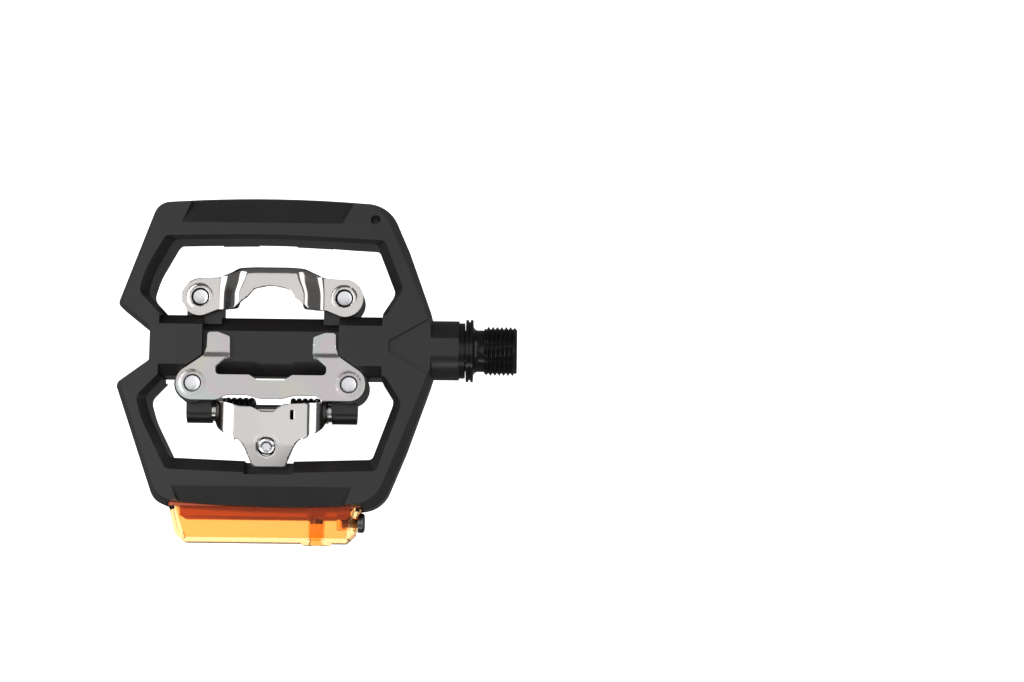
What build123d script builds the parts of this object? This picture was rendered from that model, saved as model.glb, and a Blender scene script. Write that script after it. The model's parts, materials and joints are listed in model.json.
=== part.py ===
from build123d import *
from math import cos, radians, sin
import os

# A left-hand bicycle pedal with a cleat mechanism on one side and pins on the other.
# Origin: middle of the axle flange's crank-side face. +X to the crank, +Y forward, +Z out of the clip side.
# All sizes are in millimetres.

# Axle
THREAD_R = 7.1  # 9/16 inch x 20, major radius
THREAD_START = 3.2
THREAD_END = 12.7
NECK_R = 6.2
FLANGE_R = 9.05
FLANGE_BACK = -2.1
KEY_FLATS = 8.0
KEY_DEPTH = 8.0
SEAL_LAND_R = 5.9
BUSH_LAND_R = 5.0
SHAFT_R = 4.2
BEARING_BORE_R = 3.0

# Where the axle's steps are along X
SLEEVE_BACK = -14.2
BUSH_BACK = -36.0
SHAFT_BACK = -80.0
AXLE_BACK = -89.4
END_PLAY = 0.4  # between a step on the axle and the part behind it

# Ball bearing, 6 x 12 x 4
BEARING_R = 6.0
BEARING_WIDTH = 4.0
BALL_R = 1.0
BALL_PITCH_R = 4.5
BALL_COUNT = 9
RACE_GAP = 0.03
RACE_HALF = 0.65  # half of the space between the two rings
CAGE_HALF = 0.3
CAGE_WIDTH = 3.0

# Platform
HALF_THICK = 9.2
BARREL_R = 8.6
BARREL_FACE = -4.06
SLEEVE_R = 7.4
BUSH_R = 6.3
SHAFT_BORE_R = 4.7
BODY_BACK = -92.8
RUN = 0.05  # radial clearance of every turning fit

# Cleat mechanism
MID = -57.8  # middle of the mechanism along X
BOSS_TOP = 6.0
BOSS_FOOT = -5.5
PLATE = 2.0
FRONT_SCREW = (20.7, 13.85)  # half spacing and Y
REAR_SCREW = (22.4, -11.05)
SCREW_R = 2.3
SCREW_HOLE_R = 2.5
SCREW_HEAD_R = 3.65
SCREW_HEAD = 2.2
PIVOT_Y = -18.0
PIVOT_Z = -0.7
PIVOT_R = 1.75
LUG_IN = 17.3
LUG_OUT = 24.5
LUG_ROUND = 3.8
HOOK_TOP = 12.2

# Sprung claw
CLAW_TOP = 9.0
CLAW_THICK = 1.8
CLAW_HALF = 16.2
CLAW_FLAT = 9.4
SHOULDER_Y = -26.4
TONGUE_DROP = 15.0  # degrees below level
SPRING_R = 3.8
WIRE_R = 0.9
COILS = 5
SPRING_GAP = 3.9  # half of the bare pin between the two springs

# Tension screw, which leans forward as it goes down
LEAN = 36.87  # degrees from +Z
TENSION_X = MID - 0.7
TENSION_HEAD_R = 2.5
TENSION_R = 1.75
TENSION_LENGTH = 17.5
TENSION_TOP = (TENSION_X, -29.3, 8.0)

# Reflector
REFLECTOR_MID = -58.8
REFLECTOR_HALF = 27.4
REFLECTOR_HALF_Z = 6.4
REFLECTOR_BACK = -44.6
REFLECTOR_FACE = -56.2
REFLECTOR_WALL = 1.4
BASE_THICK = 1.5
TUNNEL_X = -44.3

# Traction pins: (X, Y) on the flat side
PIN_SPOTS = [
    (-90.5, -31.7),
    (-68.7, -36.0),
    (-46.9, -36.0),
    (-26.0, -32.5),
    (-91.6, 30.2),
    (-69.2, 34.8),
    (-47.4, 34.8),
    (-26.3, 31.2),
]
PIN_HEAD_R = 2.15
PIN_HEAD = 1.8
PIN_R = 1.6
PIN_DEPTH = 6.0

os.makedirs("parts", exist_ok=True)


def shifted(outline, steps):
    """Moves each side of a clockwise outline inwards by its own step and joins the sides again."""
    sides = []
    for i, step in enumerate(steps):
        start = Vector(*outline[i][:2])
        end = Vector(*outline[(i + 1) % len(outline)][:2])
        along = (end - start).normalized()
        sides.append((start + Vector(along.Y, -along.X) * step, along))
    corners = []
    for i, corner in enumerate(outline):
        (before, before_way), (after, after_way) = sides[i - 1], sides[i]
        reach = (after - before).cross(after_way).Z / before_way.cross(after_way).Z
        crossing = before + before_way * reach
        corners.append((crossing.X, crossing.Y, corner[2]))
    return corners


def rounded(outline, plane):
    """A face on a plane from (x, y, corner radius) points."""
    with BuildSketch(plane) as face:
        with BuildLine():
            FilletPolyline(*[p[:2] for p in outline], radius=[p[2] for p in outline], close=True)
        make_face()
    return face.sketch


def level(outline, z):
    return rounded(outline, Plane.XY.offset(z))


def octagon(half_y, half_z, chamfer_y, chamfer_z, x):
    """A bar section with its four corners cut, square to X."""
    inner_y = half_y - chamfer_y
    inner_z = half_z - chamfer_z
    corners = [
        (half_y, inner_z),
        (inner_y, half_z),
        (-inner_y, half_z),
        (-half_y, inner_z),
        (-half_y, -inner_z),
        (-inner_y, -half_z),
        (inner_y, -half_z),
        (half_y, -inner_z),
    ]
    with BuildSketch(Plane.YZ.offset(x)) as face:
        Polygon(*corners, align=None)
    return face.sketch


def disc(radius, plane):
    with BuildSketch(plane) as face:
        Circle(radius)
    return face.sketch


def ring_at(radius, hole, start, length):
    """A plain ring on the axle's line, from start towards +X."""
    with BuildSketch(Plane.YZ.offset(start)) as face:
        Circle(radius)
        Circle(hole, mode=Mode.SUBTRACT)
    return extrude(face.sketch, amount=length)


def slope_plane(edge_y, edge_z, far_y, far_z):
    """A plane through a line along X, tilted down to the far edge and facing out of the solid."""
    run = Vector(0, far_y - edge_y, far_z - edge_z).normalized()
    normal = Vector(1, 0, 0).cross(run)
    if normal.Z * edge_z < 0:
        normal = normal * -1
    return Plane(origin=(0, edge_y, edge_z), x_dir=(1, 0, 0), z_dir=normal)


# Outlines of the rear plate and the front claw, the right-hand halves about the mechanism's middle

PLATE_HALF = [
    (3.8, -10.05, 0.6),
    (6.2, -8.55, 0.6),
    (15.9, -8.55, 1.2),
    (15.9, -6.0, 1.0),
    (11.9, -2.6, 1.0),
    (12.0, 2.5, 0.8),
    (15.6, 3.8, 2.0),
    (18.4, 3.7, 0.8),
    (18.5, -0.6, 2.0),
    (19.4, -3.1, 2.0),
    (27.1, -8.4, 4.6),
    (27.1, -15.8, 4.6),
    (15.5, -15.8, 3.0),
    (12.6, -14.3, 1.0),
    (7.0, -14.3, 2.0),
    (3.2, -15.3, 2.0),
]


def both_halves(half):
    """A whole clockwise outline from its right-hand half, moved to the mechanism's middle."""
    left = [(MID - x, y, r) for x, y, r in reversed(half)]
    return left + [(MID + x, y, r) for x, y, r in half]


plate_edge = both_halves(PLATE_HALF)

# The platform

BODY_EDGE = [
    (-102.9, 12.0, 2.0),
    (-92.0, 42.2, 5.0),
    (-60.0, 44.4, 380.0),
    (-24.8, 42.0, 10.0),
    (-18.6, 28.0, 20.0),
    (-12.3, 10.7, 1.0),
    (-11.0, 6.0, 1.0),
    (-11.0, -6.0, 1.0),
    (-12.3, -10.5, 1.0),
    (-18.9, -29.5, 20.0),
    (-25.8, -46.5, 9.0),
    (-58.4, -48.0, 380.0),
    (-90.6, -45.7, 6.0),
    (-102.9, -10.9, 2.0),
    (BODY_BACK, -3.4, 3.0),
    (BODY_BACK, 4.0, 3.0),
]
CLIP_BEVEL = [2.0, 1.6, 1.6, 2.2, 2.2, 2.0, 2.0, 2.0, 2.2, 2.2, 1.6, 1.6, 2.0, 1.2, 1.0, 1.2]
FLAT_BEVEL = [1.2] * len(BODY_EDGE)
BARREL_LAND = [(-14.4, 12.0, 1.0), (-12.4, 6.0, 1.0), (-12.4, -6.0, 1.0), (-14.4, -11.8, 1.0)]
BARREL_AT = 5  # the outline's corner where the barrel's flare begins
BARREL_FLAT = 8.2  # height of the flat on the barrel, in a V-shaped step down from the land
VEE_LOW = [
    (-1.0, 9.6, 0.1),
    (-12.6, 9.4, 0.6),
    (-25.2, 2.2, 0.8),
    (-25.2, -2.2, 0.8),
    (-12.6, -9.4, 0.6),
    (-1.0, -9.6, 0.1),
]
VEE_WALL = [-1.1] * len(VEE_LOW)

FRONT_WINDOW = [
    (-93.8, 14.9, 3.0),
    (-92.0, 21.0, 20.0),
    (-86.6, 30.8, 2.0),
    (-58.0, 31.4, 300.0),
    (-28.0, 30.0, 1.5),
    (-22.3, 15.6, 3.5),
    (-26.6, 8.8, 2.5),
    (-88.0, 8.8, 2.5),
]
REAR_WINDOW = [
    (-88.0, -8.8, 2.5),
    (-26.6, -8.8, 2.5),
    (-22.3, -15.6, 3.5),
    (-28.4, -32.4, 1.5),
    (-58.0, -33.4, 300.0),
    (-86.2, -32.4, 2.0),
    (-92.0, -21.0, 20.0),
    (-93.8, -14.9, 3.0),
]
FRONT_BEVEL = [-2.4, -2.4, -0.8, -0.8, -2.5, -1.5, -0.5, -1.5]
REAR_BEVEL = [-0.5, -1.5, -2.5, -3.6, -3.6, -2.4, -2.4, -1.5]
FLAT_WINDOW_BEVEL = [-1.0] * len(FRONT_WINDOW)
BEVEL_START = 6.0
FLAT_BEVEL_START = -8.0
PAST = 0.1  # how far a cutter runs past the face that it leaves

clip_land = shifted(BODY_EDGE, CLIP_BEVEL)
clip_land[BARREL_AT : BARREL_AT + len(BARREL_LAND)] = BARREL_LAND
flat_land = shifted(BODY_EDGE, FLAT_BEVEL)
flat_land[BARREL_AT : BARREL_AT + len(BARREL_LAND)] = BARREL_LAND

# Long shallow facets on the clip side of the two bars: land edge Y, outer edge Y, and X at the ends
CLIP_FACETS = [
    (35.4, 44.6, [(-84.2, 0), (-38.0, 0), (-32.6, 1), (-80.0, 1)]),
    (-40.6, -49.0, [(-85.2, 0), (-33.9, 0), (-37.6, 1), (-81.6, 1)]),
]
FACET_DROP = 2.6

# The centre bar: half height along Y, the cuts at its corners, and where its three stretches are along X
PAD_HALF_Y = 8.8
PAD_CUT = (3.0, 3.7)
WEB_HALF_Y = 8.45
WEB_CUT = (4.15, 3.2)
OUTER_PAD = (-92.6, 15.0)  # start and length
WEB = (-78.0, 40.0)
CRANK_PAD = (-38.4, 16.0)
BARREL_START = -30.0

# Screw bosses and the webs that join them to the centre bar
BOSS_R = 5.4
BOSS_WEB = (10.0, 8.0)
BOSS_WEB_INSET = 0.7
BOSS_WEB_SHIFT = (1.0, 3.5)
SEAT_GAP = 0.35  # round the rear plate's arms
SPOT_GAP = 0.3  # round the screw heads

# Pockets on the flat side of the bars, as half widths about the mechanism's middle
POCKET_DROP = 2.8
POCKET_ROWS = [(37.7, 31.0), (-39.9, -31.6)]
POCKETS = [
    [(-8.0, 0), (8.0, 0), (5.4, 1), (-5.4, 1)],
    [(-28.5, 0), (-19.3, 0), (-15.8, 1), (-29.5, 1)],
    [(19.3, 0), (27.5, 0), (29.5, 1), (15.8, 1)],
]
CORNER_HOLE = (-28.5, 36.6)
CORNER_HOLE_R = 1.4
NOTCH_HALF = 7.0
NOTCH_BACK = -37.2
NOTCH_FLOOR = -0.5


def slope_cut(edge_y, edge_z, far_y, drop, corners):
    """A wedge above a sloping face. Each corner is an X and 0 for the edge line or 1 for the far line."""
    far_z = edge_z - drop if edge_z > 0 else edge_z + drop
    plane = slope_plane(edge_y, edge_z, far_y, far_z)
    reach = plane.to_local_coords(Vector(0, far_y, far_z)).Y
    with BuildSketch(plane) as face:
        Polygon(*[(x, reach * far) for x, far in corners], align=None)
    return extrude(face.sketch, amount=drop * 3, mode=Mode.PRIVATE)


with BuildPart() as platform_body:
    loft(
        [
            level(flat_land, -HALF_THICK),
            level(BODY_EDGE, -HALF_THICK + 2.4),
            level(BODY_EDGE, 3.0),
            level(clip_land, HALF_THICK),
        ],
        ruled=True,
    )
    # The two windows, with a wide bevel on the clip side and a narrow one on the flat side
    for window, bevel in ((FRONT_WINDOW, FRONT_BEVEL), (REAR_WINDOW, REAR_BEVEL)):
        loft(
            [
                level(shifted(window, FLAT_WINDOW_BEVEL), -HALF_THICK - PAST),
                level(window, FLAT_BEVEL_START),
                level(window, BEVEL_START),
                level(shifted(window, bevel), HALF_THICK + PAST),
            ],
            ruled=True,
            mode=Mode.SUBTRACT,
        )
    # The centre bar: thick pads at both ends, and a slimmer middle where the plate's arms lie
    with BuildSketch(Plane.XY.offset(-HALF_THICK - PAST)):
        with Locations((-58.0, 0)):
            Rectangle(64.0, 20.0)
    extrude(amount=2 * HALF_THICK + 2 * PAST, mode=Mode.SUBTRACT)
    extrude(octagon(PAD_HALF_Y, HALF_THICK, *PAD_CUT, OUTER_PAD[0]), amount=OUTER_PAD[1])
    extrude(octagon(WEB_HALF_Y, BOSS_TOP, *WEB_CUT, WEB[0]), amount=WEB[1])
    extrude(octagon(PAD_HALF_Y, HALF_THICK, *PAD_CUT, CRANK_PAD[0]), amount=CRANK_PAD[1])
    extrude(disc(BARREL_R, Plane.YZ.offset(BARREL_START)), amount=BARREL_FACE - BARREL_START)
    for side in (-1, 1):
        vee_low = level(VEE_LOW, side * BARREL_FLAT)
        vee_high = level(shifted(VEE_LOW, VEE_WALL), side * (HALF_THICK + PAST))
        loft([vee_low, vee_high], ruled=True, mode=Mode.SUBTRACT)
    # Screw bosses with their webs, and the two lugs that hold the pivot pin
    for half, y in (FRONT_SCREW, REAR_SCREW):
        with BuildSketch(Plane.XY.offset(BOSS_FOOT)):
            with Locations((MID - half, y), (MID + half, y)):
                Circle(BOSS_R)
        extrude(amount=BOSS_TOP - BOSS_FOOT)
        web_half = half - BOSS_WEB_SHIFT[0]
        web_y = y - BOSS_WEB_SHIFT[1] * (1 if y > 0 else -1)
        with BuildSketch(Plane.XY.offset(BOSS_FOOT + BOSS_WEB_INSET)):
            with Locations((MID - web_half, web_y), (MID + web_half, web_y)):
                Rectangle(*BOSS_WEB)
        extrude(amount=BOSS_TOP - BOSS_FOOT - 2 * BOSS_WEB_INSET)
    for side in (-1, 1):
        with BuildSketch(Plane.YZ.offset(MID + side * (LUG_IN + LUG_OUT) / 2)):
            with Locations((PIVOT_Y, PIVOT_Z)):
                Circle(LUG_ROUND)
            with Locations(((PIVOT_Y - 8.0) / 2, PIVOT_Z)):
                Rectangle(-PIVOT_Y - 8.0 + 2.0, 2 * LUG_ROUND)
        extrude(amount=(LUG_OUT - LUG_IN) / 2, both=True)
    # Room for the rear plate, whose arms lie between the pads
    seat = shifted(plate_edge, [-SEAT_GAP] * len(plate_edge))
    extrude(level(seat, BOSS_TOP), amount=HALF_THICK - BOSS_TOP, mode=Mode.SUBTRACT)
    # Shallow facets, pockets, the claw's notch and the reflector's seat
    for edge_y, far_y, corners in CLIP_FACETS:
        add(slope_cut(edge_y, HALF_THICK, far_y, FACET_DROP, corners), mode=Mode.SUBTRACT)
    for edge_y, far_y in POCKET_ROWS:
        for corners in POCKETS:
            placed = [(MID + x, far) for x, far in corners]
            add(slope_cut(edge_y, -HALF_THICK, far_y, POCKET_DROP, placed), mode=Mode.SUBTRACT)
    with BuildSketch(Plane.XY.offset(NOTCH_FLOOR)):
        with Locations((MID, (NOTCH_BACK - 30.0) / 2)):
            Rectangle(2 * NOTCH_HALF, -30.0 - NOTCH_BACK)
    extrude(amount=HALF_THICK - NOTCH_FLOOR + PAST, mode=Mode.SUBTRACT)
    with BuildSketch(Plane.XZ.offset(-REFLECTOR_BACK)):
        with Locations((REFLECTOR_MID, 0)):
            RectangleRounded(2 * REFLECTOR_HALF + 1.0, 2 * REFLECTOR_HALF_Z + 0.6, 1.5)
    extrude(amount=5.0, mode=Mode.SUBTRACT)
    # Bores along the axle
    extrude(disc(SLEEVE_R, Plane.YZ.offset(SLEEVE_BACK)), amount=12.0, mode=Mode.SUBTRACT)
    extrude(disc(BUSH_R, Plane.YZ.offset(BUSH_BACK)), amount=22.0, mode=Mode.SUBTRACT)
    extrude(disc(SHAFT_BORE_R, Plane.YZ.offset(SHAFT_BACK - 1)), amount=46.0, mode=Mode.SUBTRACT)
    extrude(disc(BEARING_R, Plane.YZ.offset(SHAFT_BACK)), amount=-20.0, mode=Mode.SUBTRACT)
    # Screw holes with their spot faces, then the pin and pivot holes
    with BuildSketch(Plane.XY.offset(BOSS_FOOT)):
        for half, y in (FRONT_SCREW, REAR_SCREW):
            with Locations((MID - half, y), (MID + half, y)):
                Circle(SCREW_HEAD_R + SPOT_GAP)
    extrude(amount=-HALF_THICK, mode=Mode.SUBTRACT)
    with Locations(Plane.XY.offset(BOSS_TOP)):
        for half, y in (FRONT_SCREW, REAR_SCREW):
            with Locations((MID - half, y), (MID + half, y)):
                Hole(SCREW_HOLE_R, depth=BOSS_TOP - BOSS_FOOT)
    with Locations(Plane.XY.offset(HALF_THICK)):
        with Locations(CORNER_HOLE):
            Hole(CORNER_HOLE_R)
    with BuildSketch(Plane.XY.offset(-HALF_THICK)):
        with Locations(*PIN_SPOTS):
            Circle(PIN_R)
    extrude(amount=PIN_DEPTH, mode=Mode.SUBTRACT)
    with BuildSketch(Plane.YZ.offset(MID)):
        with Locations((PIVOT_Y, PIVOT_Z)):
            Circle(PIVOT_R)
    extrude(amount=LUG_OUT + 1.0, both=True, mode=Mode.SUBTRACT)
    with BuildSketch(Plane.XZ.offset(-REFLECTOR_BACK)):
        with Locations((TUNNEL_X, 0)):
            Circle(1.4)
    extrude(amount=-7.0, mode=Mode.SUBTRACT)
platform_body.part.label = "platform_body"
export_step(platform_body.part, "parts/platform_body.step")

# The axle and what turns on it

AXLE_PROFILE = [
    (THREAD_END, 0),
    (THREAD_END, THREAD_R - 0.8),
    (THREAD_END - 0.8, THREAD_R),
    (THREAD_START, THREAD_R),
    (THREAD_START, NECK_R),
    (1.0, NECK_R),
    (0.3, 6.5),
    (0, 7.2),
    (0, FLANGE_R),
    (-0.8, FLANGE_R),
    (-0.8, FLANGE_R - 0.6),
    (-1.3, FLANGE_R - 0.6),
    (-1.3, FLANGE_R),
    (FLANGE_BACK, FLANGE_R),
    (FLANGE_BACK, SEAL_LAND_R),
    (SLEEVE_BACK, SEAL_LAND_R),
    (SLEEVE_BACK, BUSH_LAND_R),
    (BUSH_BACK + END_PLAY, BUSH_LAND_R),
    (BUSH_BACK + END_PLAY, SHAFT_R),
    (SHAFT_BACK, SHAFT_R),
    (SHAFT_BACK, BEARING_BORE_R),
    (SHAFT_BACK - BEARING_WIDTH - 0.3, BEARING_BORE_R),
    (SHAFT_BACK - BEARING_WIDTH - 0.3, BEARING_BORE_R - 0.1),
    (AXLE_BACK + 0.5, BEARING_BORE_R - 0.1),
    (AXLE_BACK, BEARING_BORE_R - 0.6),
    (AXLE_BACK, 0),
]

with BuildPart() as axle:
    with BuildSketch(Plane.XY):
        with BuildLine():
            Polyline(*AXLE_PROFILE, close=True)
        make_face()
    revolve(axis=Axis.X)
    with BuildSketch(Plane.YZ.offset(THREAD_END)):
        RegularPolygon(KEY_FLATS / 2, 6, major_radius=False)
    extrude(amount=-KEY_DEPTH, mode=Mode.SUBTRACT)
axle.part.label = "axle"
export_step(axle.part, "parts/axle.step")

bearing_mid = SHAFT_BACK - BEARING_WIDTH / 2
race = Plane.YZ.offset(bearing_mid)

with BuildPart() as bearing_outer_ring:
    add(ring_at(BEARING_R, BALL_PITCH_R + RACE_HALF, SHAFT_BACK - BEARING_WIDTH, BEARING_WIDTH))
    with Locations(race):
        Torus(BALL_PITCH_R, BALL_R + RACE_GAP, mode=Mode.SUBTRACT)
bearing_outer_ring.part.label = "bearing_outer_ring"
export_step(bearing_outer_ring.part, "parts/bearing_outer_ring.step")

with BuildPart() as bearing_inner_ring:
    add(ring_at(BALL_PITCH_R - RACE_HALF, BEARING_BORE_R, SHAFT_BACK - BEARING_WIDTH, BEARING_WIDTH))
    with Locations(race):
        Torus(BALL_PITCH_R, BALL_R + RACE_GAP, mode=Mode.SUBTRACT)
bearing_inner_ring.part.label = "bearing_inner_ring"
export_step(bearing_inner_ring.part, "parts/bearing_inner_ring.step")

with BuildPart() as bearing_balls:
    with Locations(race):
        with PolarLocations(BALL_PITCH_R, BALL_COUNT):
            Sphere(BALL_R)
bearing_balls.part.label = "bearing_balls"
export_step(bearing_balls.part, "parts/bearing_balls.step")

with BuildPart() as bearing_cage:
    start = bearing_mid - CAGE_WIDTH / 2
    add(ring_at(BALL_PITCH_R + CAGE_HALF, BALL_PITCH_R - CAGE_HALF, start, CAGE_WIDTH))
    with Locations(race):
        with PolarLocations(BALL_PITCH_R, BALL_COUNT):
            Cylinder(BALL_R + RACE_GAP, 2.0, rotation=(0, 90, 0), mode=Mode.SUBTRACT)
bearing_cage.part.label = "bearing_cage"
export_step(bearing_cage.part, "parts/bearing_cage.step")

washer_face = SHAFT_BACK - BEARING_WIDTH
WASHER_R = 4.0
WASHER = 0.8
NUT_HALF_FLATS = 4.0
NUT_LONG = 3.5
with BuildPart() as axle_washer:
    add(ring_at(WASHER_R, BEARING_BORE_R + RUN, washer_face - WASHER, WASHER))
axle_washer.part.label = "axle_washer"
export_step(axle_washer.part, "parts/axle_washer.step")

with BuildPart() as axle_locknut:
    with BuildSketch(Plane.YZ.offset(washer_face - WASHER)):
        RegularPolygon(NUT_HALF_FLATS, 6, major_radius=False)
        Circle(BEARING_BORE_R - 0.1, mode=Mode.SUBTRACT)
    extrude(amount=-NUT_LONG)
axle_locknut.part.label = "axle_locknut"
export_step(axle_locknut.part, "parts/axle_locknut.step")

cap_face = Plane.YZ.offset(BODY_BACK + 0.6)
CAP_KEY_HALF_FLATS = 2.5

with BuildPart() as dust_cap:
    extrude(disc(BEARING_R, cap_face), amount=1.6)
    with BuildSketch(cap_face):
        RegularPolygon(CAP_KEY_HALF_FLATS, 6, major_radius=False)
    extrude(amount=0.8, mode=Mode.SUBTRACT)
dust_cap.part.label = "dust_cap"
export_step(dust_cap.part, "parts/dust_cap.step")

with BuildPart() as inboard_bushing:
    add(ring_at(BUSH_R, BUSH_LAND_R + RUN, BUSH_BACK + 0.3, 21.2))
inboard_bushing.part.label = "inboard_bushing"
export_step(inboard_bushing.part, "parts/inboard_bushing.step")

with BuildPart() as lock_sleeve:
    add(ring_at(SLEEVE_R, SEAL_LAND_R + 0.9, SLEEVE_BACK, 8.0))
    add(ring_at(SLEEVE_R, SEAL_LAND_R + 0.2, SLEEVE_BACK + 8.0, BARREL_FACE - SLEEVE_BACK - 8.0))
    add(ring_at(8.05, SEAL_LAND_R + 0.2, BARREL_FACE, 1.66))
lock_sleeve.part.label = "lock_sleeve"
export_step(lock_sleeve.part, "parts/lock_sleeve.step")

with BuildPart() as axle_seal:
    add(ring_at(SEAL_LAND_R + 0.9, SEAL_LAND_R + RUN, SLEEVE_BACK + 6.6, 1.4))
    add(ring_at(SEAL_LAND_R + 0.9, SEAL_LAND_R + 0.5, SLEEVE_BACK + 2.0, 4.6))
axle_seal.part.label = "axle_seal"
export_step(axle_seal.part, "parts/axle_seal.step")

# Front claw: flat ears, and a hollow hook between them that is open to the rear

HOOK_FOOT = [
    (MID - 15.8, 10.2, 0.8),
    (MID - 15.8, 19.3, 0.8),
    (MID - 9.4, 22.5, 2.5),
    (MID + 9.4, 22.5, 2.5),
    (MID + 15.8, 19.3, 0.8),
    (MID + 15.8, 10.2, 0.8),
]
HOOK_LIP = [
    (MID - 10.2, 10.2, 0.8),
    (MID - 8.6, 16.6, 2.5),
    (MID - 5.2, 20.5, 2.5),
    (MID + 5.2, 20.5, 2.5),
    (MID + 8.6, 16.6, 2.5),
    (MID + 10.2, 10.2, 0.8),
]
HOOK_WALL = [1.6, 1.6, 1.6, 1.6, 1.6, -1.0]
CLAW_REAR_Y = 10.4
CLAW_FRONT_Y = 19.2
HOOK_THROAT = [
    (MID - 7.6, 9.0, 0.1),
    (MID - 6.6, 13.9, 1.5),
    (MID - 3.6, 16.6, 4.0),
    (MID + 3.6, 16.6, 4.0),
    (MID + 6.6, 13.9, 1.5),
    (MID + 7.6, 9.0, 0.1),
]

with BuildPart() as front_claw:
    with BuildSketch(Plane.XY.offset(BOSS_TOP)):
        half, y = FRONT_SCREW
        with Locations((MID - half, y), (MID + half, y)):
            Circle(BOSS_R)
        with Locations((MID, (CLAW_REAR_Y + CLAW_FRONT_Y) / 2)):
            Rectangle(2 * half, CLAW_FRONT_Y - CLAW_REAR_Y)
    extrude(amount=PLATE)
    loft([level(HOOK_FOOT, BOSS_TOP), level(HOOK_LIP, HOOK_TOP)], ruled=True)
    hollow = shifted(HOOK_FOOT, HOOK_WALL)
    roof = shifted(HOOK_LIP, HOOK_WALL)
    loft([level(hollow, BOSS_TOP - PAST), level(roof, HOOK_TOP - PLATE)], ruled=True, mode=Mode.SUBTRACT)
    extrude(level(HOOK_THROAT, BOSS_TOP - PAST), amount=HOOK_TOP, mode=Mode.SUBTRACT)
    with BuildSketch(Plane.XY.offset(BOSS_TOP)):
        with Locations((MID - half, y), (MID + half, y)):
            Circle(SCREW_R)
    extrude(amount=PLATE, mode=Mode.SUBTRACT)
front_claw.part.label = "front_claw"
export_step(front_claw.part, "parts/front_claw.step")

with BuildPart() as rear_plate:
    extrude(level(plate_edge, BOSS_TOP), amount=PLATE)
    half, y = REAR_SCREW
    with BuildSketch(Plane.XY.offset(BOSS_TOP)):
        with Locations((MID - half, y), (MID + half, y)):
            Circle(SCREW_R)
    extrude(amount=PLATE, mode=Mode.SUBTRACT)
rear_plate.part.label = "rear_plate"
export_step(rear_plate.part, "parts/rear_plate.step")


def claw_screws(half, y):
    """A pair of pan head Torx screws, driven up from the flat side."""
    with BuildPart() as screws:
        with BuildSketch(Plane.XY.offset(BOSS_FOOT)):
            with Locations((MID - half, y), (MID + half, y)):
                Circle(SCREW_HEAD_R)
        extrude(amount=-SCREW_HEAD)
        fillet(screws.edges().filter_by(GeomType.CIRCLE).group_by(Axis.Z)[0], 0.8)
        with BuildSketch(Plane.XY.offset(BOSS_FOOT)):
            with Locations((MID - half, y), (MID + half, y)):
                Circle(SCREW_R)
        extrude(amount=BOSS_TOP + PLATE - 0.3 - BOSS_FOOT)
        with BuildSketch(Plane.XY.offset(BOSS_FOOT - SCREW_HEAD)):
            with Locations((MID - half, y), (MID + half, y)):
                RegularPolygon(1.7, 6)
        extrude(amount=1.4, mode=Mode.SUBTRACT)
    return screws


front_claw_screws = claw_screws(*FRONT_SCREW)
front_claw_screws.part.label = "front_claw_screws"
export_step(front_claw_screws.part, "parts/front_claw_screws.step")

rear_plate_screws = claw_screws(*REAR_SCREW)
rear_plate_screws.part.label = "rear_plate_screws"
export_step(rear_plate_screws.part, "parts/rear_plate_screws.step")

# The sprung claw: an arched top with two ears on the pin, and a tongue that slopes down to the rear

CLAW_PLAN = [
    (1.2, -19.7, 1.0),
    (4.6, -17.6, 1.5),
    (11.0, -17.2, 1.5),
    (CLAW_HALF, -16.4, 0.4),
    (CLAW_HALF, -24.0, 3.0),
    (12.0, -26.4, 2.0),
    (7.0, SHOULDER_Y - 0.2, 0.4),
]
CLAW_SIDE = [
    (-16.5, 9.6),
    (-16.3, 5.4),
    (-14.6, 0.4),
    (-18.0, -1.0),
    (-21.4, -1.6),
    (-25.6, 4.6),
    (-27.0, 9.6),
]
TONGUE_HALF = [(8.6, 0.2), (6.6, -2.6), (4.9, -8.2), (4.2, -8.8)]
EAR_FOOT = -5.0
EAR_R = 3.6
BEND_R = CLAW_HALF - CLAW_FLAT

drop = radians(TONGUE_DROP)
lean = radians(LEAN)
tongue_top = Plane(
    origin=(MID, SHOULDER_Y, CLAW_TOP), x_dir=(1, 0, 0), z_dir=(0, -sin(drop), cos(drop))
)
screw_top = Plane(origin=TENSION_TOP, x_dir=(1, 0, 0), z_dir=(0, -sin(lean), cos(lean)))
pivot = Plane(origin=(MID, PIVOT_Y, PIVOT_Z), x_dir=(0, 1, 0), z_dir=(1, 0, 0))
CUP_R = 3.7
CUP_FLOOR = 2.8
HEAD_SEAT = 1.4

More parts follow.
